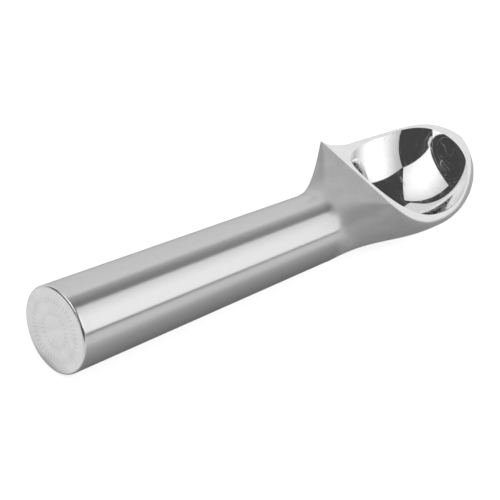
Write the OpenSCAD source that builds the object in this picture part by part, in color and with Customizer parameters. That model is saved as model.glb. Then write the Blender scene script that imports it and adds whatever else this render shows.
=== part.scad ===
// Ice cream dipper with a fixed bowl: a tapered hollow handle and an upright bowl cast in one piece,
// a cap pressed into the handle's end, its seal ring, and the liquid sealed in the handle that carries
// the warmth of the hand to the bowl. Nothing on it moves.
// Lengths are in millimetres. X runs along the handle's axis from the cap's outer face to the bowl,
// Z is up with the bowl's mouth upward, and the origin is the middle of the cap's outer face.

/* [Handle] */
// Diameter of the handle at the cap's outer face
handle_d = 30; // [27:0.5:34]
// Diameter of the handle where the flare to the bowl begins
neck_d = 24.34; // [22.5:0.02:26]
// Distance from the cap's outer face to the start of the flare
neck_x = 111.5; // [95:0.5:130]
// Height of the fine shoulder where the turned handle meets the cast flare
neck_step = 0.12; // [0.1:0.02:0.3]
// Width of the small bevel at the handle's open end
handle_bevel = 0.15; // [0.1:0.05:0.6]

/* [Bore] */
// Diameter of the bore that holds the liquid
bore_d = 19; // [15:0.5:20]
// Metal left between the bottom of the bore's drill point and the start of the flare
bore_stop = 2.5; // [1:0.5:12]
// Angle of the bore's drill point, across both sides
drill_angle = 118; // [90:1:140]

/* [Flare] */
// Distance from the start of the flare to the upright back lip of the bowl
flare_l = 14.1; // [12:0.1:17]
// Width of the back lip
lip_w = 36.7; // [34:0.02:40]
// Height of the back lip above the handle's axis
lip_h = 20.2; // [18:0.1:22]

/* [Bowl] */
// Radius of the ball hollow
cup_r = 20.5; // [19.5:0.1:22]
// Height of the hollow's centre above the handle's axis
cup_h = 11.23; // [10.8:0.01:11.8]
// Thickness of metal under the hollow, at the bowl's fullest section
wall = 1.13; // [1:0.01:2.5]
// Width of the land on each side of the hollow, where the bowl is widest
side_land = 2.28; // [1.9:0.02:3]
// Thickness of the lip ahead of the hollow
front_land = 2.5; // [2:0.1:4]
// Depth of the flat corner panel between the back lip and the hollow
back_land = 7.5; // [6:0.1:9]
// Distance from the hollow's centre forward to the bowl's fullest section
keel_shift = 2.3; // [1.6:0.1:3]
// Height of the rim above the axis at its lowest point, on the bowl's sides
dip_h = 8; // [6.5:0.1:9.5]
// Height of the rim above the axis at the front
front_h = 18.27; // [16.5:0.01:19.5]
// Radius that rounds the outer edge of the rim
rim_round = 0.35; // [0.2:0.05:0.6]

/* [End cap] */
// Thickness of the cap outside the handle
cap_t = 3.2; // [2.4:0.1:5]
// Radius of the rounded edge of the cap's face
cap_round = 0.9; // [0.5:0.1:2]
// Length of the plug inside the bore
plug_l = 9; // [7.5:0.5:14]
// Clearance on the radius between the plug and the bore
plug_gap = 0.04; // [0.02:0.01:0.1]
// Bevel on the plug's inner end
plug_bevel = 0.8; // [0.3:0.1:1.2]

/* [Seal ring] */
// Diameter of the seal ring's round section
seal_t = 2.2; // [1.6:0.1:2.6]
// Distance from the cap's flange to the near side of the seal groove
seal_in = 3; // [2:0.1:3.5]
// Clearance around the seal ring in its groove
seal_gap = 0.05; // [0.02:0.01:0.1]

/* [Liquid] */
// Height of the liquid's level above the handle's axis when the dipper lies on its keel
level_h = 5; // [0:0.5:6]
// Clearance between the liquid and the metal around it
liquid_gap = 0.05; // [0.02:0.01:0.1]

/* [Hidden] */

// Facets shown on round faces
$fn = 96;
// How far cutting bodies run past the faces they cut
over = 1;
// How far the handle's core reaches into the flare, and how much it narrows there
root_l = 3;
root_in = 1;

// Places along X
lip_x = neck_x + flare_l;
cup_x = lip_x + back_land + cup_r;
tip_x = cup_x + cup_r + front_land;
keel_x = cup_x + keel_shift;
// Where the bowl is widest and where the rim dips lowest, as shares of the way from back lip to front
wide_share = 0.403;
dip_share = 0.448;
wide_x = lip_x + wide_share * (tip_x - lip_x);
dip_x = lip_x + dip_share * (tip_x - lip_x);

// Radii and the widest width that follow from the sizes above
neck_r = neck_d / 2;
flare_r = neck_r + neck_step;
bore_r = bore_d / 2;
keel_r = cup_r + wall;
bowl_w = 2 * (cup_r + side_land);
plug_r = bore_r - plug_gap;
drill_l = bore_r / tan(drill_angle / 2);
bore_x = neck_x - bore_stop - drill_l;

// Powers that shape the curves: how the keel swells and sinks away from the handle, how the corners
// tighten, spread and rise to the back lip, how the rim falls and climbs, and the outline of the front
swell_power = 2.23;
swell_ease = 2.45;
lift_power = 1.37;
lift_ease = 1.6;
tighten_power = 0.88;
spread_power = 1.72;
rise_power = 1.58;
back_power = 1.77;
front_power = 1.65;
side_power = 2.1;
nose_x_power = 0.74;
nose_y_power = 1.37;
// Where the rim's edge turns over the bowl's round side, as a share of the turn to the side's tangent
edge_turn_share = 0.5;

// Rings in the flare and in the bowl, and points on the parts of half a ring
FLARE_RINGS = 10;
BOWL_RINGS = 26;
CORNER_POINTS = 5;
FLANK_POINTS = 2;
KEEL_POINTS = 16;
// Direction in which a corner's arc starts, and the lowest direction in which it may end, in degrees
// above sideways
corner_start = 87;
corner_end = 70;
// Last ring, as a share of the way from back lip to front
nose_share = 0.9995;
// Points on the cap's rounded edge
ROUND_POINTS = 8;

function mix(a, b, t) = a + (b - a) * t;
function ease(t, p, q) = 1 - pow(1 - pow(t, p), q);
function clamp(v) = max(-1, min(1, v));

// Radius of the tapered handle at x
function handle_r(x) = mix(handle_d, neck_d, x / neck_x) / 2;

// Radius and centre height of the round keel at x
function keel_share(x) = min(1, (x - neck_x) / (keel_x - neck_x));
function nose_way(x) = (x - keel_x) / (tip_x - keel_x);
function keel_radius(x) =
    x <= keel_x
        ? mix(flare_r, keel_r, ease(keel_share(x), swell_power, swell_ease))
        : keel_r * sqrt(1 - pow(nose_way(x), 2));
function keel_height(x) = cup_h * ease(keel_share(x), lift_power, lift_ease);

// Height of the rim and half the width across it, from the back lip forward
function rim_height(x) =
    x < dip_x
        ? mix(dip_h, lip_h, pow((dip_x - x) / (dip_x - lip_x), back_power))
        : mix(dip_h, front_h, (1 - cos(180 * pow((x - dip_x) / (tip_x - dip_x), front_power))) / 2);
function nose_turn(x) = asin(pow((x - wide_x) / (tip_x - wide_x), 1 / nose_x_power));
function rim_half(x) =
    x <= wide_x
        ? mix(bowl_w, lip_w, pow((wide_x - x) / (wide_x - lip_x), side_power)) / 2
        : pow(cos(nose_turn(x)), nose_y_power) * bowl_w / 2;

// The upper corner of the section at x: its outermost half width, its top and its radius
function flare_share(x) = (x - neck_x) / flare_l;
function corner_radius(x) =
    x < lip_x
        ? max(rim_round, flare_r * pow(1 - flare_share(x), tighten_power))
        : min(rim_round, rim_half(x) / 2, keel_radius(x) / 2);
function corner_out(x) =
    x < lip_x
        ? lip_w / 2 * pow(flare_share(x), spread_power) + flare_r * pow(1 - flare_share(x), tighten_power)
        : rim_half(x);
function corner_top(x) =
    x < lip_x ? mix(flare_r, lip_h, pow(flare_share(x), rise_power)) : rim_height(x);

// Direction of the flat flank's normal between the corner and the keel; where the corner lies inside
// the keel's circle, the direction in which the edge meets that circle
function flank_turn(away, up, r) =
    r <= norm([away, up])
        ? acos(clamp(r / norm([away, up])))
        : edge_turn_share * acos(clamp(norm([away, up]) / r));
function flank_angle(away, up, r) = min(corner_end, atan2(up, away) - flank_turn(away, up, r));

// Half a ring at x as [sideways, height] points from the top to the keel
function arc(cy, cz, r, from, to, n) =
    [for (i = [0 : n - 1]) let (a = mix(from, to, i / (n - 1))) [cy + r * cos(a), cz + r * sin(a)]];
function between(a, b, n) = [for (i = [1 : n]) mix(a, b, i / (n + 1))];
function half_ring(x) =
    let (
        rc = corner_radius(x),
        cy = max(0, corner_out(x) - rc),
        cz = corner_top(x) - rc,
        kr = keel_radius(x),
        kz = keel_height(x),
        turn = flank_angle(cy, cz - kz, kr - rc),
        upper = arc(cy, cz, rc, corner_start, turn, CORNER_POINTS),
        lower = arc(0, kz, kr, turn, -90, KEEL_POINTS)
    )
    concat(upper, between(upper[CORNER_POINTS - 1], lower[0], FLANK_POINTS), lower);

// A whole ring: right half from top to keel, then the left half back up without the keel point again
function ring(x) =
    let (half = half_ring(x))
    concat(
        [for (p = half) [x, p[0], p[1]]],
        [for (i = [len(half) - 2 : -1 : 0]) [x, -half[i][0], half[i][1]]]
    );

// Rings along the flare and the bowl, closer together towards the front
flare_xs = [for (i = [0 : FLARE_RINGS]) mix(neck_x, lip_x, i / FLARE_RINGS)];
bowl_xs = [for (i = [1 : BOWL_RINGS - 1]) mix(lip_x, tip_x, sin(90 * i / BOWL_RINGS))];
ring_xs = concat(flare_xs, bowl_xs, [mix(lip_x, tip_x, nose_share)]);

// Solid skin through a list of rings with the same number of points each
module ring_stack(rings) {
    n = len(rings[0]);
    last = len(rings) - 1;
    side = [
        for (k = [0 : last - 1], j = [0 : n - 1])
            let (a = k * n + j, b = k * n + (j + 1) % n)
            each [[a, b, b + n], [a, b + n, a + n]]
    ];
    ends = [
        [for (j = [n - 1 : -1 : 0]) j],
        [for (j = [0 : n - 1]) last * n + j]
    ];
    polyhedron(points = [for (r = rings) each r], faces = concat(side, ends), convexity = 6);
}

// Turns a profile of [radius, place along X] points into a round body about the handle's axis
module turned(profile) {
    rotate([90, 0, 90])
        rotate_extrude()
            polygon(profile);
}

// Flare and bowl without their hollow
module bowl_block() {
    ring_stack([for (x = ring_xs) ring(x)]);
}

// Handle without its bore, bevelled at the open end, with a core that runs on into the flare
module handle_block() {
    turned([
        [0, cap_t],
        [handle_r(cap_t) - handle_bevel, cap_t],
        [handle_r(cap_t + handle_bevel), cap_t + handle_bevel],
        [neck_r, neck_x],
        [neck_r - root_in, neck_x + root_l],
        [0, neck_x + root_l]
    ]);
}

// The handle's bore with its drill point, drawn in by a clearance
module bore_shape(from, gap) {
    turned([
        [0, from],
        [bore_r - gap, from],
        [bore_r - gap, bore_x],
        [0, bore_x + drill_l - gap]
    ]);
}

// One casting: the tapered handle, the flare and the bowl with its ball hollow
module scoop_body() {
    color("silver")
        difference() {
            union() {
                handle_block();
                bowl_block();
            }
            bore_shape(cap_t - over, 0);
            translate([cup_x, 0, cup_h])
                sphere(r = cup_r);
        }
}

// Cap with a rounded face edge, flush with the handle, and a grooved plug that fills the bore's mouth
module end_cap() {
    groove_r = plug_r - seal_t - seal_gap;
    groove_from = cap_t + seal_in;
    groove_to = groove_from + seal_t + 2 * seal_gap;
    plug_end = cap_t + plug_l;
    edge_r = handle_r(cap_round) - cap_round;
    color("gainsboro")
        turned(concat(
            [[0, 0]],
            [
                for (i = [0 : ROUND_POINTS])
                    let (a = 90 * i / ROUND_POINTS)
                    [edge_r + cap_round * sin(a), cap_round * (1 - cos(a))]
            ],
            [
                [handle_r(cap_t), cap_t],
                [plug_r, cap_t],
                [plug_r, groove_from],
                [groove_r, groove_from],
                [groove_r, groove_to],
                [plug_r, groove_to],
                [plug_r, plug_end - plug_bevel],
                [plug_r - plug_bevel, plug_end],
                [0, plug_end]
            ]
        ));
}

// Round rubber ring in the plug's groove, touching the bore
module cap_seal() {
    seal_r = seal_t / 2;
    color("dimgray")
        translate([cap_t + seal_in + seal_gap + seal_r, 0, 0])
            rotate([0, 90, 0])
                rotate_extrude()
                    translate([plug_r - seal_r, 0])
                        circle(r = seal_r);
}

// The liquid in the closed bore, level on top, with air left over it
module heat_fluid() {
    from = cap_t + plug_l + liquid_gap;
    color("lightsteelblue")
        intersection() {
            bore_shape(from, liquid_gap);
            translate([0, -bore_r, -bore_r])
                cube([neck_x, 2 * bore_r, bore_r + level_h]);
        }
}

scoop_body();
end_cap();
cap_seal();
heat_fluid();
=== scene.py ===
import math

import bmesh
import bpy
import numpy as np
from mathutils import Matrix, Vector


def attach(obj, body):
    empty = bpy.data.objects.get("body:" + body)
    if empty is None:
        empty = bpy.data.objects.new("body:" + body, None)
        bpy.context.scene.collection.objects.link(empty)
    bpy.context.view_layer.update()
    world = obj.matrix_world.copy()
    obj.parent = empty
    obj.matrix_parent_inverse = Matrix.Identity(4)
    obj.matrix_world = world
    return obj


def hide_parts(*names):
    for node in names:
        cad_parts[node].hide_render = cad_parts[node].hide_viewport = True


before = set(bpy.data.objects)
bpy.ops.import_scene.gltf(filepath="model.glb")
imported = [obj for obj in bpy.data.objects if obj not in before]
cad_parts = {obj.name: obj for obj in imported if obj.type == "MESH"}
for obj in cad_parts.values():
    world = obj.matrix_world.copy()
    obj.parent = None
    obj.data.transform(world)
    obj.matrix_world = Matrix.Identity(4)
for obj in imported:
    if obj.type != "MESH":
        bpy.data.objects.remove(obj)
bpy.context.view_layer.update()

# The camera.
# A long lens looks down over the handle's end at the bowl, turned a little about its own axis.
eye = Vector((-0.5179, -0.4897, 0.6310))
right = Vector((0.7431, -0.6331, 0.2167))
up = Vector((0.2928, 0.5988, 0.7455))
up = (up - right * up.dot(right)).normalized()
back = right.cross(up)
camera_data = bpy.data.cameras.new("long_lens")
camera_data.sensor_width = 36
camera_data.lens = 216
camera_data.clip_start = 0.05
camera_data.clip_end = 20
camera = bpy.data.objects.new("long_lens", camera_data)
camera.matrix_world = Matrix((
    (right.x, up.x, back.x, eye.x),
    (right.y, up.y, back.y, eye.y),
    (right.z, up.z, back.z, eye.z),
    (0, 0, 0, 1),
))
bpy.context.collection.objects.link(camera)
bpy.context.scene.camera = camera
bpy.context.scene.view_settings.view_transform = "Standard"


# The studio.
# A white room and a white table, two glowing soft boxes beside the camera, and a dark hood above. None
# of it is part of the dipper; it gives the metal what it mirrors.
def nodes_of(material):
    """The empty node tree of a material or world, with its links."""
    material.use_nodes = True
    tree = material.node_tree
    tree.nodes.clear()
    return tree.nodes, tree.links


def feed(links, socket, value):
    """Gives an input socket its value: another node's output, a plain number or a row of numbers."""
    if isinstance(value, bpy.types.NodeSocket):
        links.new(value, socket)
    else:
        socket.default_value = value


def calc(nodes, links, operation, first, second=None):
    """Result of a Math node on one or two sockets or numbers."""
    node = nodes.new("ShaderNodeMath")
    node.operation = operation
    feed(links, node.inputs[0], first)
    if second is not None:
        feed(links, node.inputs[1], second)
    return node.outputs[0]


def remap(nodes, links, value, low, high, to_low=0.0, to_high=1.0, smooth=True):
    """A value taken from low..high to to_low..to_high, along a smooth step or straight."""
    node = nodes.new("ShaderNodeMapRange")
    node.interpolation_type = "SMOOTHSTEP" if smooth else "LINEAR"
    for name, given in (("Value", value), ("From Min", low), ("From Max", high),
                        ("To Min", to_low), ("To Max", to_high)):
        feed(links, node.inputs[name], given)
    return node.outputs["Result"]


def finish_tree(nodes, links, shader, kind="ShaderNodeOutputMaterial"):
    """Links the last shader of a material's or world's tree to its output."""
    links.new(shader.outputs[0], nodes.new(kind).inputs["Surface"])


# The room is full white to the camera and in mirrors, and dimmer as a light on matt surfaces.
room_light = 0.5
world = bpy.data.worlds.new("white_room")
bpy.context.scene.world = world
nodes, links = nodes_of(world)
path = nodes.new("ShaderNodeLightPath")
seen = calc(nodes, links, "MAXIMUM", path.outputs["Is Camera Ray"], path.outputs["Is Glossy Ray"])
seen = calc(nodes, links, "MAXIMUM", seen, path.outputs["Is Transmission Ray"])
sky = nodes.new("ShaderNodeBackground")
links.new(remap(nodes, links, seen, 0, 1, room_light, 1, smooth=False), sky.inputs["Strength"])
finish_tree(nodes, links, sky, "ShaderNodeOutputWorld")


def mesh_of(name, points, faces, smooth=True):
    """Mesh object from an array of points and an array of faces, each a row of point numbers."""
    mesh = bpy.data.meshes.new(name)
    mesh.from_pydata(points.tolist(), [], faces.tolist())
    mesh.polygons.foreach_set("use_smooth", np.full(len(mesh.polygons), smooth))
    mesh.update()
    thing = bpy.data.objects.new(name, mesh)
    bpy.context.collection.objects.link(thing)
    return thing


def blend(nodes, links, share, first, second, kind="FLOAT"):
    """Two values, vectors or colours, or sockets of them, mixed by a share."""
    node = nodes.new("ShaderNodeMix")
    node.data_type = kind
    for name, given in (("Factor", share), ("A", first), ("B", second)):
        feed(links, node.inputs[name], given)
    return node.outputs["Result"]


def axes_of(nodes, links, vector):
    """The outputs X, Y and Z of a vector socket."""
    split = nodes.new("ShaderNodeSeparateXYZ")
    links.new(vector, split.inputs[0])
    return split.outputs


# The table lies along the line from the cap's lower edge to the foot of the flare, a hair below both.
cap_low = np.array([0.0009, -0.01498])
foot_low = np.array([0.1125, -0.01219])
slope = (foot_low[1] - cap_low[1]) / (foot_low[0] - cap_low[0])
table_half, table_gap = 6.0, 0.0001
corner_x = np.array([-table_half, table_half])
table_z = cap_low[1] + slope * (corner_x - cap_low[0]) - table_gap
table = mesh_of(
    "table",
    np.array([
        [corner_x[0], -table_half, table_z[0]],
        [corner_x[1], -table_half, table_z[1]],
        [corner_x[1], table_half, table_z[1]],
        [corner_x[0], table_half, table_z[0]],
    ]),
    np.array([[0, 1, 2, 3]]),
    smooth=False,
)

# Its paper is plain white to the camera. To all other rays it is darker close under the dipper, where
# less light reaches it; the distance counts from the dipper's axis, and grows fast past the cap.
shade_from, shade_to, past_cap = 0.012, 0.12, -30.0
near_color, far_color, near_glow, far_glow, camera_glow = 0.37, 0.9, 0.07, 0.33, 0.75
paper = bpy.data.materials.new("white_table")
nodes, links = nodes_of(paper)
path = nodes.new("ShaderNodeLightPath")
place = nodes.new("ShaderNodeTexCoord").outputs["Object"]
axes = axes_of(nodes, links, place)
aside = calc(nodes, links, "ABSOLUTE", axes["Y"])
beyond = calc(nodes, links, "MULTIPLY", axes["X"], past_cap)
away = calc(nodes, links, "MAXIMUM", aside, beyond)
paper_face = nodes.new("ShaderNodeBsdfDiffuse")
paper_glow = nodes.new("ShaderNodeEmission")
for socket, near, far, camera_level in (
    (paper_face.inputs["Color"], near_color, far_color, far_color),
    (paper_glow.inputs["Strength"], near_glow, far_glow, camera_glow),
):
    hidden = remap(nodes, links, away, shade_from, shade_to, near, far, smooth=False)
    shown = blend(nodes, links, path.outputs["Is Camera Ray"], hidden, camera_level)
    links.new(shown, socket)
paper_sum = nodes.new("ShaderNodeAddShader")
links.new(paper_face.outputs[0], paper_sum.inputs[0])
links.new(paper_glow.outputs[0], paper_sum.inputs[1])
finish_tree(nodes, links, paper_sum)
table.data.materials.append(paper)


def toward(azimuth, elevation):
    """Unit vector at an azimuth from +X towards +Y and an elevation, both in degrees."""
    a, e = math.radians(azimuth), math.radians(elevation)
    return np.array([math.cos(e) * math.cos(a), math.cos(e) * math.sin(a), math.sin(e)])


def vector_calc(nodes, links, operation, first, second=None):
    """Result of a Vector Math node; the second is another vector, or the factor of a SCALE."""
    node = nodes.new("ShaderNodeVectorMath")
    node.operation = operation
    links.new(first, node.inputs[0])
    if second is not None:
        links.new(second, node.inputs["Scale" if operation == "SCALE" else 1])
    return node.outputs["Value" if operation == "LENGTH" else "Vector"]


# Two soft boxes beside the camera: flat cards, each given by the directions of its corners as seen
# from the hollow, and by where it glows most. The camera itself does not see them.
focus = np.array([0.153, 0.0, 0.005])


def soft_box(name, corners, reach, bright, fade, peak, edge):
    """Flat glowing card whose corners lie in the given directions from the focus, square to their mean
    direction at the distance reach. Its glow falls from peak, where the direction bright meets it, to
    edge at the distance fade from there, along a smooth step."""
    corners = np.array([toward(*corner) for corner in corners])
    middle = corners.mean(axis=0) / np.linalg.norm(corners.mean(axis=0))
    points = corners * reach / (corners @ middle)[:, None]
    spot = toward(*bright) * reach / (toward(*bright) @ middle)
    card = mesh_of(name, points - spot, np.arange(len(corners))[None, :], smooth=False)
    card.location = Vector(focus + spot)
    material = bpy.data.materials.new(name + "_glow")
    nodes, links = nodes_of(material)
    place = nodes.new("ShaderNodeTexCoord").outputs["Object"]
    away = vector_calc(nodes, links, "LENGTH", place)
    glow = nodes.new("ShaderNodeEmission")
    links.new(remap(nodes, links, away, 0, fade, peak, edge), glow.inputs["Strength"])
    finish_tree(nodes, links, glow)
    card.data.materials.append(material)
    card.visible_camera = False


right_corners = [(-131, 57), (-109, 33), (3, -8), (-27, 45)]
left_corners = [(-134, 57), (-172, 36), (117, 24), (80, 74)]
soft_box("right_box", right_corners, reach=0.8, bright=(-60, 41), fade=0.75, peak=1.5, edge=0.62)
soft_box("left_box", left_corners, reach=0.8, bright=(172, 50), fade=0.75, peak=1.4, edge=0.8)


def grid_faces(rows, columns, start=0):
    """Four-cornered faces of a grid of points: row i, column j to the next row and column."""
    index = start + np.arange(rows * columns).reshape(rows, columns)
    return np.stack(
        [index[:-1, :-1], index[:-1, 1:], index[1:, 1:], index[1:, :-1]], axis=-1
    ).reshape(-1, 4)


# The hood: a dark dome whose lower edge lies high on the far side and low on the camera's side, with
# a narrow notch past the cap's end. The list gives azimuths and heights of that edge, in degrees.
hood_radius, hood_columns, hood_rows, hood_glow = 2.2, 73, 13, 0.065
azimuths = np.radians(np.linspace(-180, 180, hood_columns))
shares = np.linspace(0, 1, hood_rows)
hood_edge = np.radians([
    (-180, -4), (-178, -4), (-174, 38.5), (-164, 38.5), (-160, -4), (-120, -4), (-100, 8),
    (-75, 18), (-50, 19), (-25, 38), (0, 43), (20, 47), (32, 49), (42, 57),
    (60, 62), (70, 65), (82, 65), (92, 55), (101, 18), (108, -4), (180, -4),
])
lowest = np.interp(azimuths, hood_edge[:, 0], hood_edge[:, 1])
elevation = lowest[None, :] + (math.pi / 2 - lowest[None, :]) * shares[:, None]
hood_points = hood_radius * np.stack([
    np.cos(elevation) * np.cos(azimuths)[None, :],
    np.cos(elevation) * np.sin(azimuths)[None, :],
    np.sin(elevation),
], axis=-1)
hood = mesh_of("hood", hood_points.reshape(-1, 3), grid_faces(hood_rows, hood_columns))
hood.visible_camera = False
cloth = bpy.data.materials.new("dark_cloth")
nodes, links = nodes_of(cloth)
cloth_glow = nodes.new("ShaderNodeEmission")
cloth_glow.inputs["Strength"].default_value = hood_glow
finish_tree(nodes, links, cloth_glow)
hood.data.materials.append(cloth)


# The casting: handle, flare and bowl.
# One aluminium casting that carries all the rest. The handle is bored and turned, the flare and the
# bowl's outside are blasted matt, and the mouth's land and the ball hollow are polished like a mirror.
# In the names of its sizes _d is a width across, _r a radius, _x a place along the handle's axis, _h a
# height over it and _l and _w a length and a width.
mm = 0.001
handle_d, neck_d, neck_x, neck_step = 30 * mm, 24.34 * mm, 111.5 * mm, 0.12 * mm
bore_d, bore_stop, drill_angle, handle_bevel = 19 * mm, 2.5 * mm, 118, 0.15 * mm
flare_l, lip_w, lip_h = 14.1 * mm, 36.7 * mm, 20.2 * mm
cup_r, cup_h, wall = 20.5 * mm, 11.23 * mm, 1.13 * mm
side_land, front_land, back_land = 2.28 * mm, 2.5 * mm, 7.5 * mm
keel_shift, dip_h, front_h, rim_round = 2.3 * mm, 8 * mm, 18.27 * mm, 0.35 * mm
cap_t = 3.2 * mm

lip_x = neck_x + flare_l
cup_x = lip_x + back_land + cup_r
tip_x = cup_x + cup_r + front_land
keel_x = cup_x + keel_shift
wide_share, dip_share = 0.403, 0.448
wide_x = lip_x + wide_share * (tip_x - lip_x)
dip_x = lip_x + dip_share * (tip_x - lip_x)
neck_r = neck_d / 2
flare_r = neck_r + neck_step
bore_r = bore_d / 2
keel_r = cup_r + wall
bowl_w = 2 * (cup_r + side_land)
lip_soft, neck_soft = 0.35 * mm, 1.2 * mm


def handle_r(x):
    """Radius of the turned handle: a straight taper from the cap to the neck."""
    return (handle_d + (neck_d - handle_d) * x / neck_x) / 2


def foot_r(x):
    """Radius at the foot of the flare: the neck's, with the flare's small step eased in over a short
    length as a smooth step."""
    t = np.clip((x - neck_x) / neck_soft, 0, 1)
    return neck_r + neck_step * t * t * (3 - 2 * t)


# Powers of the curves that carry the keel's radius and its centre's height from the neck to the bowl.
swell_powers, rise_powers = (2.23, 2.45), (1.37, 1.6)


def ease(t, p, q):
    """Curve from 0 to 1: one minus the power q of one minus t to the power p."""
    return 1 - (1 - t**p) ** q


def keel(x):
    """Radius and centre height of the round keel: swelling from the handle's circle to the full ball,
    then an ellipse's quarter towards the front."""
    t = np.clip((x - neck_x) / (keel_x - neck_x), 0, 1)
    nose = np.clip((x - keel_x) / (tip_x - keel_x), 0, 1)
    full = foot_r(x) + (keel_r - flare_r) * ease(t, *swell_powers)
    radius = full * np.sqrt(1 - nose**2)
    return radius, cup_h * ease(t, *rise_powers)


# Powers of the mouth's fall behind the dip, of its rise before it, and of the flare's rise.
fall_power, climb_power, flare_power = 1.77, 1.65, 1.58


def rim_height(x):
    """Height of the mouth's surface: a power curve from the back lip down to the dip, then half a
    cosine wave up to the front."""
    back_t = np.clip((dip_x - x) / (dip_x - lip_x), 0, None)
    front_t = np.clip((x - dip_x) / (tip_x - dip_x), 0, 1)
    back_z = dip_h + (lip_h - dip_h) * back_t**fall_power
    front_z = dip_h + (front_h - dip_h) * (1 - np.cos(np.pi * front_t**climb_power)) / 2
    return np.where(x < dip_x, back_z, front_z)


def flare_height(x):
    """Height of the flare's flat top, rising by a power curve from the neck to the back lip."""
    t = np.clip((x - neck_x) / flare_l, 0, None)
    return foot_r(x) + (lip_h - flare_r) * t**flare_power


def top_height(x):
    """Height of the upper edge: the flare's rise, then the mouth's fall, with a small parabola that
    rounds the back lip where they meet."""
    before, after, small = lip_x - lip_soft, lip_x + lip_soft, lip_soft / 50
    z0, z1 = flare_height(before), rim_height(after)
    s0 = (z0 - flare_height(before - small)) / small
    s1 = (rim_height(after + small) - z1) / small
    t = np.clip((x - before) / (after - before), 0, 1)
    span = after - before
    middle_z = (z0 + s0 * span / 2 + z1 - s1 * span / 2) / 2
    soft = (1 - t) ** 2 * z0 + 2 * t * (1 - t) * middle_z + t**2 * z1
    return np.where(x < before, flare_height(x), np.where(x > after, rim_height(x), soft))


# Powers of the mouth's outline in plan: its side, and the sine and cosine of its turn at the front.
side_power, sine_power, cosine_power = 2.1, 0.74, 1.37


def rim_half(x):
    """Half the width of the mouth: a power curve from the back lip to the widest place, then a power
    of the sine and cosine of a turn to the front."""
    back_t = np.clip((wide_x - x) / (wide_x - lip_x), 0, 1)
    front_t = np.clip((x - wide_x) / (tip_x - wide_x), 0, 1)
    side = bowl_w / 2 + (lip_w - bowl_w) / 2 * back_t**side_power
    turn = np.arcsin(front_t ** (1 / sine_power))
    return np.where(x <= wide_x, side, np.cos(turn) ** cosine_power * bowl_w / 2)


# A half section's points, the angles its corner arc runs between, and the powers by which the flare's
# two corner circles part and shrink.
corner_count, side_count, arc_count = 9, 66, 240
corner_low, corner_high, corner_top = 70.0, 87.0, 90.0
part_power, shrink_power = 1.72, 0.88


def half_ring(x):
    """Half a section at x as [sideways, height] rows from the top to the keel: an arc of the upper
    corner's circle, then the keel's arc, both ending where one straight flank touches the two circles.
    Up to the neck both are the handle's circle. On the flare the corner's circle moves out and shrinks
    by powers of the share of the way, and on the bowl it is the rim's small round."""
    if x <= neck_x:
        radius = handle_r(x)
        turn, start = corner_low, corner_high
        rc, cy, cz, kr, kz = radius, 0.0, 0.0, radius, 0.0
    else:
        u = (x - neck_x) / flare_l
        kr, kz = (float(v) for v in keel(x))
        top = float(top_height(x))
        if u < 1:
            tight = float(foot_r(x)) * (1 - u) ** shrink_power
            rc = max(rim_round, tight)
            out = lip_w / 2 * u**part_power + tight
        else:
            out = float(rim_half(x))
            rc = min(rim_round, out / 2, kr / 2)
        cy, cz = max(0.0, out - rc), top - rc
        away, lift, r = cy, cz - kz, kr - rc
        reach = math.hypot(away, lift)
        if r <= reach:
            bend = math.degrees(math.acos(r / reach))
        else:
            bend = 0.5 * math.degrees(math.acos(reach / r))
        turn = min(corner_low, math.degrees(math.atan2(lift, away)) - bend)
        start = corner_high + (corner_top - corner_high) * min(1.0, u)
    a = np.radians(np.linspace(start, turn, corner_count))
    corner = np.stack([cy + rc * np.cos(a), cz + rc * np.sin(a)], axis=-1)
    b = np.radians(np.linspace(turn, -90, arc_count))
    lower = np.stack([kr * np.cos(b), kz + kr * np.sin(b)], axis=-1)
    line = np.concatenate([corner[-1:], lower])
    step = np.concatenate([[0], np.cumsum(np.hypot(*np.diff(line, axis=0).T))])
    even = np.linspace(0, step[-1], side_count + 1)[1:]
    rest = np.stack([np.interp(even, step, line[:, 0]), np.interp(even, step, line[:, 1])], axis=-1)
    return np.concatenate([corner, rest]), (rc, cy, cz)


def whole_ring(x):
    """A section at x as points in space: right half down to the keel, then the left half up."""
    half, _ = half_ring(x)
    left = half[-2::-1] * [-1, 1]
    both = np.concatenate([half, left])
    return np.column_stack([np.full(len(both), x), both])


# Places along X: the bevel at the open end, the handle, the flare with close rings at its foot and
# at the lip, and the bowl with rings that close up towards the front.
handle_rings, flare_rings, bowl_rings, last_share = 60, 36, 100, 0.99993
handle_xs = np.concatenate([[cap_t + handle_bevel], np.linspace(cap_t + 1 * mm, neck_x, handle_rings)])
flare_xs = np.concatenate([
    neck_x + np.array([0.1, 0.25, 0.45]) * mm,
    np.linspace(neck_x + 0.7 * mm, lip_x - lip_soft, flare_rings),
    lip_x + lip_soft * np.array([-0.75, -0.5, -0.25]),
])
front_turn = np.linspace(0, 1, bowl_rings)[1:-1]
bowl_xs = np.concatenate([
    [lip_x],
    lip_x + lip_soft * np.array([0.25, 0.5, 0.75, 1]),
    lip_x + lip_soft + (tip_x - lip_x - lip_soft) * np.sin(front_turn * np.pi / 2),
    [lip_x + last_share * (tip_x - lip_x)],
])


def bevelled(row):
    """A row of points round the handle's first section, drawn in by the bevel onto its open end."""
    inset = row * [0, 1, 1] * (handle_r(cap_t) - handle_bevel) / handle_r(cap_t + handle_bevel)
    inset[:, 0] = cap_t
    return inset


sections = [whole_ring(x) for x in np.concatenate([handle_xs, flare_xs, bowl_xs])]
outside = np.stack([bevelled(sections[0])] + sections)

# The narrow strip along the handle's top and the flare's flat top: points across from right to left.
strip_count = 24
across = np.linspace(1, -1, strip_count + 1)


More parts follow.
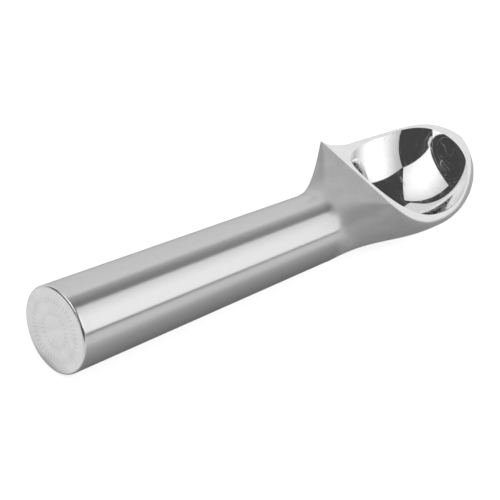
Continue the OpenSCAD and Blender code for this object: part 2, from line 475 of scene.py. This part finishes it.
def strip_row(x):
    """Points across the top at x: flat in the middle, following the corner's circle at its ends."""
    half, (rc, cy, cz) = half_ring(x)
    y = across * half[0, 0]
    z = cz + np.sqrt(np.maximum(rc**2 - np.maximum(np.abs(y) - cy, 0) ** 2, 0))
    return np.column_stack([np.full(len(y), x), y, z])


strip_xs = np.concatenate([handle_xs, flare_xs, [lip_x]])
strip = np.stack([strip_row(x) for x in strip_xs])
strip = np.concatenate([bevelled(strip[0])[None], strip])

# The mouth's land: from the rim's edge inward to the hollow's edge.
rim_right = outside[-len(bowl_xs):, 0]
rim_left = outside[-len(bowl_xs):, -1]
rim_loop = np.concatenate([rim_right, rim_left[::-1], strip[-1][::-1][1:-1]])
hollow_c = np.array([cup_x, 0.0, cup_h])


def hollow_edge(direction, halvings=50):
    """Points where the ball meets the mouth's surface, in the given directions in plan: the plan
    radius is found by repeated halving of the gap between ball and surface."""
    low = np.full(len(direction), 0.5 * cup_r)
    high = np.full(len(direction), cup_r)
    for _ in range(halvings):
        mid = (low + high) / 2
        x = cup_x + mid * direction[:, 0]
        height = top_height(x) - cup_h
        inside = mid**2 + height**2 < cup_r**2
        low, high = np.where(inside, mid, low), np.where(inside, high, mid)
    x = cup_x + low * direction[:, 0]
    return np.column_stack([x, low * direction[:, 1], top_height(x)])


plan = rim_loop[:, :2] - hollow_c[:2]
plan_dir = plan / np.linalg.norm(plan, axis=1)[:, None]
edge = hollow_edge(plan_dir)
land_shares = np.array([0, 0.02, 0.06, 0.14, 0.26, 0.4, 0.55, 0.7, 0.85, 0.95, 1.0])
edge_soft = 0.12 * mm
inner = edge.copy()
inner[:, :2] += plan_dir * edge_soft
inner[:, 2] = top_height(inner[:, 0])
land = inner[None] + (rim_loop - inner)[None] * land_shares[:, None, None]
land[1:-1, :, 2] = top_height(land[1:-1, :, 0])

# The ball hollow: great circles from the edge, softened by one short step, to its lowest point.
pole = np.array([0.0, 0.0, -1.0])
start_dir = (edge - hollow_c) / np.linalg.norm(edge - hollow_c, axis=1)[:, None]
angle = np.arccos(np.clip(start_dir @ pole, -1, 1))
ball_shares = np.concatenate([[0.006, 0.02], np.linspace(0.05, 0.985, 44)])
t = ball_shares[:, None]
great = (
    np.sin((1 - t) * angle)[..., None] * start_dir[None] + np.sin(t * angle)[..., None] * pole
) / np.sin(angle)[None, :, None]
ball = hollow_c + cup_r * great
soft_edge = edge * 0.5 + 0.25 * inner + 0.25 * ball[0]
hollow = np.concatenate([soft_edge[None], ball])

# The bore behind the cap, with its drill point: a few rings, and one last small ring by the point.
bore_rings, point_share, point_width = 12, 0.97, 0.03
drill_l = bore_r / math.tan(math.radians(drill_angle / 2))
bore_end = neck_x - bore_stop - drill_l
open_end = np.concatenate([outside[0], strip[0][::-1][1:-1]])
ring_dir = open_end[:, 1:] / np.linalg.norm(open_end[:, 1:], axis=1)[:, None]


def bore_ring(x, radius):
    """Circle of the given radius at x, with points in the same directions as the handle's end."""
    return np.column_stack([np.full(len(ring_dir), x), ring_dir * radius])


bore = np.stack(
    [open_end]
    + [bore_ring(x, bore_r) for x in np.linspace(cap_t, bore_end, bore_rings)]
    + [bore_ring(bore_end + point_share * drill_l, point_width * bore_r)]
)


def closed(rows):
    """Repeats the first column of a grid of rings behind its last, so that its faces close round."""
    return np.concatenate([rows, rows[:, :1]], axis=1)


def fan_cap(ring, middle):
    """Grid of two rows that closes a ring of points on one middle point."""
    return np.stack([ring, np.broadcast_to(middle, ring.shape)])


# All the grids as one mesh, each with the number of its material: 0 outside, 1 hollow, 2 land.
# Points that fall together are then made one, so that the surface is closed.
merge_distance, thin_distance = 2e-7, 1e-8
nose_ring = np.concatenate([outside[-1], outside[-1][:1]])
parts = [
    (outside, 0),
    (strip, 0),
    (closed(np.concatenate([land[::-1], soft_edge[None]])), 2),
    (closed(hollow), 1),
    (fan_cap(closed(hollow)[-1], hollow_c + cup_r * pole), 1),
    (closed(bore), 0),
    (fan_cap(closed(bore)[-1], np.array([bore_end + drill_l, 0, 0])), 0),
    (fan_cap(nose_ring, nose_ring.mean(axis=0)), 0),
]
points = np.concatenate([p.reshape(-1, 3) for p, _ in parts])
faces, kinds, start = [], [], 0
for p, kind in parts:
    f = grid_faces(p.shape[0], p.shape[1], start)
    faces.append(f)
    kinds.append(np.full(len(f), kind))
    start += p.shape[0] * p.shape[1]
casting = mesh_of("casting", points, np.concatenate(faces))
casting.data.polygons.foreach_set("material_index", np.concatenate(kinds).astype(np.int32))
bm = bmesh.new()
bm.from_mesh(casting.data)
bmesh.ops.remove_doubles(bm, verts=bm.verts, dist=merge_distance)
bmesh.ops.dissolve_degenerate(bm, edges=bm.edges, dist=thin_distance)
bmesh.ops.recalc_face_normals(bm, faces=bm.faces)
bm.to_mesh(casting.data)
bm.free()
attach(casting, "root")
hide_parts("scoop_body")


# Looks of the casting. Each effect is a node group with named sockets; the shaders stay in the
# materials.
VALUE, VECTOR = "NodeSocketFloat", "NodeSocketVector"


def group_of(name, inputs, outputs):
    """New shader node group with named sockets: the group, its nodes and links, the values given to
    it and the sockets of its results. Inputs and outputs are lists of name, socket type and, for
    inputs, default value."""
    tree = bpy.data.node_groups.new(name, "ShaderNodeTree")
    for label, kind, value in inputs:
        socket = tree.interface.new_socket(name=label, in_out="INPUT", socket_type=kind)
        if value is not None:
            socket.default_value = value
    for label, kind in outputs:
        tree.interface.new_socket(name=label, in_out="OUTPUT", socket_type=kind)
    given, result = tree.nodes.new("NodeGroupInput"), tree.nodes.new("NodeGroupOutput")
    return tree, tree.nodes, tree.links, given.outputs, result.inputs


# Turning marks: fine grooves round the handle's axis, as a noise along X.
turned, nodes, links, given, result = group_of(
    "turning_marks",
    [("Place", VECTOR, None), ("Marks per metre", VALUE, 1500.0)],
    [("Height", VALUE)],
)
noise = nodes.new("ShaderNodeTexNoise")
noise.noise_dimensions = "1D"
noise.inputs["Scale"].default_value = 1.0
noise.inputs["Detail"].default_value = 1.5
noise.inputs["Roughness"].default_value = 0.65
axes = axes_of(nodes, links, given["Place"])
links.new(calc(nodes, links, "MULTIPLY", axes["X"], given["Marks per metre"]), noise.inputs["W"])
links.new(noise.outputs["Fac"], result["Height"])

# Blasted grain: a fine even roughness of the surface, and a soft cloudiness 25 times as large.
grain, nodes, links, given, result = group_of(
    "blasted_grain",
    [("Place", VECTOR, None), ("Grains per metre", VALUE, 5000.0)],
    [("Height", VALUE), ("Clouds", VALUE)],
)
for label, share, detail in (("Height", 1.0, 2.0), ("Clouds", 0.04, 3.0)):
    noise = nodes.new("ShaderNodeTexNoise")
    noise.inputs["Detail"].default_value = detail
    noise.inputs["Roughness"].default_value = 0.6
    links.new(given["Place"], noise.inputs["Vector"])
    rate = calc(nodes, links, "MULTIPLY", given["Grains per metre"], share)
    links.new(rate, noise.inputs["Scale"])
    links.new(noise.outputs["Fac"], result[label])

# Nicks: rare small pits, as left by other tools in a drawer. A quarter of the cells has one.
cell_share = 0.25
nicks, nodes, links, given, result = group_of(
    "nicks",
    [("Place", VECTOR, None), ("Cells per metre", VALUE, 110.0), ("Size", VALUE, 0.045)],
    [("Mask", VALUE)],
)
cells = nodes.new("ShaderNodeTexVoronoi")
links.new(given["Place"], cells.inputs["Vector"])
links.new(given["Cells per metre"], cells.inputs["Scale"])
near = calc(nodes, links, "LESS_THAN", cells.outputs["Distance"], given["Size"])
some = nodes.new("ShaderNodeSeparateColor")
links.new(cells.outputs["Color"], some.inputs[0])
rare = calc(nodes, links, "GREATER_THAN", some.outputs[0], 1 - cell_share)
links.new(calc(nodes, links, "MULTIPLY", near, rare), result["Mask"])

# Scratches: thin wavy lines where three stretched noises pass their middle value. Each is a turn in
# radians and the noise's scale along its own axes.
scratches, nodes, links, given, result = group_of(
    "fine_scratches",
    [("Place", VECTOR, None), ("Width", VALUE, 0.0025)],
    [("Mask", VALUE)],
)
mask = 0.0
for turn, scale in ((0.6, (900, 40, 40)), (-0.9, (700, 30, 60)), (1.9, (800, 50, 50))):
    tilt = nodes.new("ShaderNodeMapping")
    tilt.inputs["Rotation"].default_value = (0.3 * turn, 0.2, turn)
    tilt.inputs["Scale"].default_value = scale
    links.new(given["Place"], tilt.inputs["Vector"])
    noise = nodes.new("ShaderNodeTexNoise")
    noise.inputs["Scale"].default_value = 1.0
    noise.inputs["Detail"].default_value = 1.0
    links.new(tilt.outputs[0], noise.inputs["Vector"])
    off = calc(nodes, links, "ABSOLUTE", calc(nodes, links, "SUBTRACT", noise.outputs["Fac"], 0.5))
    line = calc(nodes, links, "LESS_THAN", off, given["Width"])
    mask = calc(nodes, links, "MAXIMUM", mask, line)
links.new(mask, result["Mask"])


def vector_from(nodes, links, x=0.0, y=0.0, z=0.0):
    """A vector socket from three sockets or numbers."""
    node = nodes.new("ShaderNodeCombineXYZ")
    for name, value in (("X", x), ("Y", y), ("Z", z)):
        feed(links, node.inputs[name], value)
    return node.outputs[0]


def to_world(nodes, links, normal):
    """A normal given in the piece's own axes, as shaders want it."""
    node = nodes.new("ShaderNodeVectorTransform")
    node.vector_type = "NORMAL"
    node.convert_from = "OBJECT"
    node.convert_to = "WORLD"
    links.new(normal, node.inputs[0])
    return node.outputs[0]


# Shallow dish: the normal of a dish whose slope grows evenly with the distance from its middle, but
# less near the rim on the neck's side.
rim_slope, ease_slope, ease_power = math.radians(51), math.radians(20), 5.0
dish, nodes, links, given, result = group_of(
    "shallow_dish",
    [("Place", VECTOR, None), ("Middle X", VALUE, 0.1525), ("Ease before X", VALUE, 0.160),
     ("Rim radius", VALUE, 0.0204)],
    [("Normal", VECTOR)],
)
axes = axes_of(nodes, links, given["Place"])
inward = vector_from(
    nodes, links,
    x=calc(nodes, links, "SUBTRACT", given["Middle X"], axes["X"]),
    y=calc(nodes, links, "MULTIPLY", axes["Y"], -1.0),
)
reach = vector_calc(nodes, links, "LENGTH", inward)
reach = calc(nodes, links, "DIVIDE", reach, given["Rim radius"])
neck_side = calc(nodes, links, "SUBTRACT", given["Ease before X"], axes["X"])
neck_side = calc(nodes, links, "DIVIDE", neck_side, given["Rim radius"])
neck_side = calc(nodes, links, "MAXIMUM", neck_side, 0.0)
eased = calc(nodes, links, "MULTIPLY", calc(nodes, links, "POWER", reach, ease_power), neck_side)
eased = calc(nodes, links, "MULTIPLY", eased, ease_slope)
turn = calc(nodes, links, "SUBTRACT", calc(nodes, links, "MULTIPLY", reach, rim_slope), eased)
unit = vector_calc(nodes, links, "NORMALIZE", inward)
aside = vector_calc(nodes, links, "SCALE", unit, calc(nodes, links, "SINE", turn))
upward = vector_from(nodes, links, z=calc(nodes, links, "COSINE", turn))
normal = vector_calc(nodes, links, "ADD", aside, upward)
links.new(to_world(nodes, links, normal), result["Normal"])

# Eased side: the normal of a bar turned round X that is a little flattened high on its -Y side, so
# that the light lies there as a broad band. The angle runs from +Y towards +Z; each bell gives the
# angle of its middle, its width and how far it turns the normal, in degrees.
bells = [(111, 9, 8.8), (142, 9, -8)]
eased_side, nodes, links, given, result = group_of(
    "eased_side",
    [("Place", VECTOR, None), ("Taper", VALUE, 0.0254)],
    [("Normal", VECTOR)],
)
axes = axes_of(nodes, links, given["Place"])
angle = calc(nodes, links, "ARCTAN2", axes["Z"], axes["Y"])
turn = angle
for middle, width, gain in bells:
    off = calc(nodes, links, "SUBTRACT", angle, math.radians(middle))
    off = calc(nodes, links, "DIVIDE", off, math.radians(width))
    bell = calc(nodes, links, "MULTIPLY", calc(nodes, links, "MULTIPLY", off, off), -1.0)
    bell = calc(nodes, links, "MULTIPLY", calc(nodes, links, "EXPONENT", bell), math.radians(gain))
    turn = calc(nodes, links, "ADD", turn, bell)
normal = vector_from(
    nodes, links, given["Taper"], calc(nodes, links, "COSINE", turn), calc(nodes, links, "SINE", turn))
links.new(to_world(nodes, links, normal), result["Normal"])


def skin(name, groups, metallic=1.0):
    """Material with one Principled shader: the material, its nodes and links, its Object coordinates,
    the shader's sockets, and one node for each given group, already fed with the coordinates."""
    material = bpy.data.materials.new(name)
    nodes, links = nodes_of(material)
    place = nodes.new("ShaderNodeTexCoord").outputs["Object"]
    effects = []
    for group in groups:
        effect = nodes.new("ShaderNodeGroup")
        effect.node_tree = group
        links.new(place, effect.inputs["Place"])
        effects.append(effect)
    shader = nodes.new("ShaderNodeBsdfPrincipled")
    shader.inputs["Metallic"].default_value = metallic
    finish_tree(nodes, links, shader)
    return material, nodes, links, place, shader.inputs, effects


def spread(nodes, links, effect, label, low, high):
    """The usual range of a noise, 0.3 to 0.7, spread smoothly over low to high."""
    return remap(nodes, links, effect.outputs[label], 0.3, 0.7, low, high)


def bumps(nodes, links, height, distance, base=None):
    """Bump node that reads a height in shares of the distance, over another normal if given."""
    node = nodes.new("ShaderNodeBump")
    node.inputs["Distance"].default_value = distance
    links.new(height, node.inputs["Height"])
    if base is not None:
        links.new(base, node.inputs["Normal"])
    return node.outputs["Normal"]


quarter_turn, full_stretch = 0.25, 0.95


def stretch_shine(nodes, links, shader, share):
    """Stretches the shine across the turning marks, which run round X, by a share of the full."""
    around = nodes.new("ShaderNodeTangent")
    around.direction_type = "RADIAL"
    around.axis = "X"
    links.new(around.outputs[0], shader["Tangent"])
    shader["Anisotropic Rotation"].default_value = quarter_turn
    links.new(calc(nodes, links, "MULTIPLY", share, full_stretch), shader["Anisotropic"])


# The outside: turned up to the neck, with a tool's ring where the flare begins, blasted beyond. The
# one look turns into the other within 6 mm.
ring_depth, worn_dark, grain_height, satin_depth = 0.15, 0.4, 0.5, 0.008 * mm
satin, nodes, links, place, shader, (marks, sand, pits, bar) = skin(
    "satin_casting", [turned, grain, nicks, eased_side])
axes = axes_of(nodes, links, place)
blasted = remap(nodes, links, axes["X"], neck_x - 1 * mm, neck_x + 5 * mm)
ring = calc(nodes, links, "ABSOLUTE", calc(nodes, links, "SUBTRACT", axes["X"], neck_x))
ring = remap(nodes, links, ring, 0.05 * mm, 0.25 * mm, ring_depth, 0.0)
worn = calc(nodes, links, "MAXIMUM", ring, pits.outputs["Mask"])
tint_turned = spread(nodes, links, marks, "Height", 0.71, 0.73)
tint_blasted = spread(nodes, links, sand, "Clouds", 0.70, 0.75)
tint = blend(nodes, links, blasted, tint_turned, tint_blasted)
shade = calc(nodes, links, "SUBTRACT", 1.0, calc(nodes, links, "MULTIPLY", worn, worn_dark))
links.new(calc(nodes, links, "MULTIPLY", tint, shade), shader["Base Color"])
rough_turned = spread(nodes, links, marks, "Height", 0.275, 0.285)
rough_blasted = spread(nodes, links, sand, "Height", 0.62, 0.74)
links.new(blend(nodes, links, blasted, rough_turned, rough_blasted), shader["Roughness"])
stretch_shine(nodes, links, shader, calc(nodes, links, "SUBTRACT", 1.0, blasted))
height = blend(nodes, links, blasted, 0.0, sand.outputs["Height"])
height = calc(nodes, links, "MULTIPLY", height, grain_height)
height = calc(nodes, links, "SUBTRACT", height, worn)
surface = nodes.new("ShaderNodeNewGeometry").outputs["Normal"]
facing = blend(nodes, links, blasted, bar.outputs["Normal"], surface, "VECTOR")
links.new(bumps(nodes, links, height, satin_depth, facing), shader["Normal"])

# The hollow: polished like a mirror, with fine scratches.
mirror, nodes, links, _, shader, (dished, lined, sand) = skin(
    "polished_hollow", [dish, scratches, grain])
links.new(spread(nodes, links, sand, "Clouds", 0.78, 0.82), shader["Base Color"])
rough = spread(nodes, links, sand, "Clouds", 0.02, 0.045)
rough_lines = calc(nodes, links, "MULTIPLY", lined.outputs["Mask"], 0.2)
links.new(calc(nodes, links, "ADD", rough, rough_lines), shader["Roughness"])
links.new(dished.outputs["Normal"], shader["Normal"])

# The mouth's land: polished less finely, and shaded nearly level, as a buffed land is.
level_share = 0.8
land_metal, nodes, links, _, shader, (sand, lined) = skin("polished_land", [grain, scratches])
links.new(spread(nodes, links, sand, "Clouds", 0.93, 0.97), shader["Base Color"])
rough = spread(nodes, links, sand, "Height", 0.12, 0.17)
rough_lines = calc(nodes, links, "MULTIPLY", lined.outputs["Mask"], 0.05)
links.new(calc(nodes, links, "ADD", rough, rough_lines), shader["Roughness"])
surface = nodes.new("ShaderNodeNewGeometry").outputs["Normal"]
level = blend(nodes, links, level_share, surface, (0, 0, 1), "VECTOR")
links.new(vector_calc(nodes, links, "NORMALIZE", level), shader["Normal"])

casting.data.materials.append(satin)
casting.data.materials.append(mirror)
casting.data.materials.append(land_metal)


# The end cap.
# A turned aluminium disc pressed into the handle's open end by its plug: a satin grey face with two
# generic rings of faint stamped strokes, and a polished rounded edge.
stroke_edges, band_edges = (0.08, 0.14), (0.9, 1.1)
stamp, nodes, links, given, result = group_of(
    "stamped_strokes",
    [("Place", VECTOR, None), ("Radius", VALUE, 0.0104), ("Length", VALUE, 0.0010),
     ("Strokes", VALUE, 44.0)],
    [("Mask", VALUE)],
)
axes = axes_of(nodes, links, given["Place"])
radius = vector_calc(nodes, links, "LENGTH", vector_from(nodes, links, y=axes["Y"], z=axes["Z"]))
angle = calc(nodes, links, "ARCTAN2", axes["Z"], axes["Y"])
steps = calc(nodes, links, "DIVIDE", angle, math.tau)
steps = calc(nodes, links, "MULTIPLY", steps, given["Strokes"])
wave = calc(nodes, links, "PINGPONG", steps, 0.5)
stroke = remap(nodes, links, wave, *stroke_edges, 1.0, 0.0)
away = calc(nodes, links, "ABSOLUTE", calc(nodes, links, "SUBTRACT", radius, given["Radius"]))
share = calc(nodes, links, "DIVIDE", away, given["Length"])
band = remap(nodes, links, share, *band_edges, 1.0, 0.0)
links.new(calc(nodes, links, "MULTIPLY", stroke, band), result["Mask"])

# Its face carries the strokes, its rounded edge is polished, and its side is turned as the handle is.
stamp_dark, face_grain, cap_depth = 0.16, 0.15, 0.03 * mm
cap_metal, nodes, links, place, shader, (sand, outer, inner, marks, bar) = skin(
    "cap_metal", [grain, stamp, stamp, turned, eased_side])
inner.inputs["Radius"].default_value = 0.0058
inner.inputs["Length"].default_value = 0.0006
inner.inputs["Strokes"].default_value = 24.0
axes = axes_of(nodes, links, place)
face = remap(nodes, links, axes["X"], 0.01 * mm, 0.08 * mm, 1.0, 0.0)
side = remap(nodes, links, axes["X"], 0.75 * mm, 1.0 * mm)
marked = calc(nodes, links, "MAXIMUM", outer.outputs["Mask"], inner.outputs["Mask"])
worn = calc(nodes, links, "MULTIPLY", marked, face)
tint_side = spread(nodes, links, marks, "Height", 0.70, 0.73)
tint_face = spread(nodes, links, sand, "Clouds", 0.85, 0.91)
tint = blend(nodes, links, face, tint_side, tint_face)
shade = calc(nodes, links, "SUBTRACT", 1.0, calc(nodes, links, "MULTIPLY", worn, stamp_dark))
links.new(calc(nodes, links, "MULTIPLY", tint, shade), shader["Base Color"])
rough_edge = blend(nodes, links, side, 0.2, 0.28)
rough_face = spread(nodes, links, sand, "Height", 0.36, 0.48)
links.new(blend(nodes, links, face, rough_edge, rough_face), shader["Roughness"])
stretch_shine(nodes, links, shader, side)
height = calc(nodes, links, "MULTIPLY", sand.outputs["Height"], face_grain)
height = calc(nodes, links, "SUBTRACT", height, worn)
surface = nodes.new("ShaderNodeNewGeometry").outputs["Normal"]
facing = blend(nodes, links, side, surface, bar.outputs["Normal"], "VECTOR")
links.new(bumps(nodes, links, height, cap_depth, facing), shader["Normal"])


def dress(name, material):
    """Gives a CAD node its material."""
    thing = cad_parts[name]
    thing.data.materials.clear()
    thing.data.materials.append(material)


dress("end_cap", cap_metal)


# The seal ring.
# A moulded round rubber ring, stretched into the groove of the cap's plug. It keeps the liquid in and
# is out of sight once the cap is pressed in.
rubber, nodes, links, _, shader, (sand,) = skin("seal_rubber", [grain], metallic=0.0)
links.new(spread(nodes, links, sand, "Clouds", 0.02, 0.04), shader["Base Color"])
links.new(spread(nodes, links, sand, "Height", 0.55, 0.75), shader["Roughness"])
rubber_depth = 0.01 * mm
links.new(bumps(nodes, links, sand.outputs["Height"], rubber_depth), shader["Normal"])
dress("cap_seal", rubber)


# The heat liquid.
# A clear watery liquid that fills most of the sealed bore, level on top with air over it. It carries
# the hand's warmth to the bowl.
liquid, nodes, links, _, shader, (sand,) = skin("clear_liquid", [grain], metallic=0.0)
shader["Transmission Weight"].default_value = 1.0
shader["IOR"].default_value = 1.36
clear, cloudy = (0.90, 0.95, 0.97, 1), (0.84, 0.92, 0.96, 1)
links.new(blend(nodes, links, sand.outputs["Clouds"], clear, cloudy, "RGBA"), shader["Base Color"])
links.new(spread(nodes, links, sand, "Clouds", 0.01, 0.03), shader["Roughness"])
dress("heat_fluid", liquid)
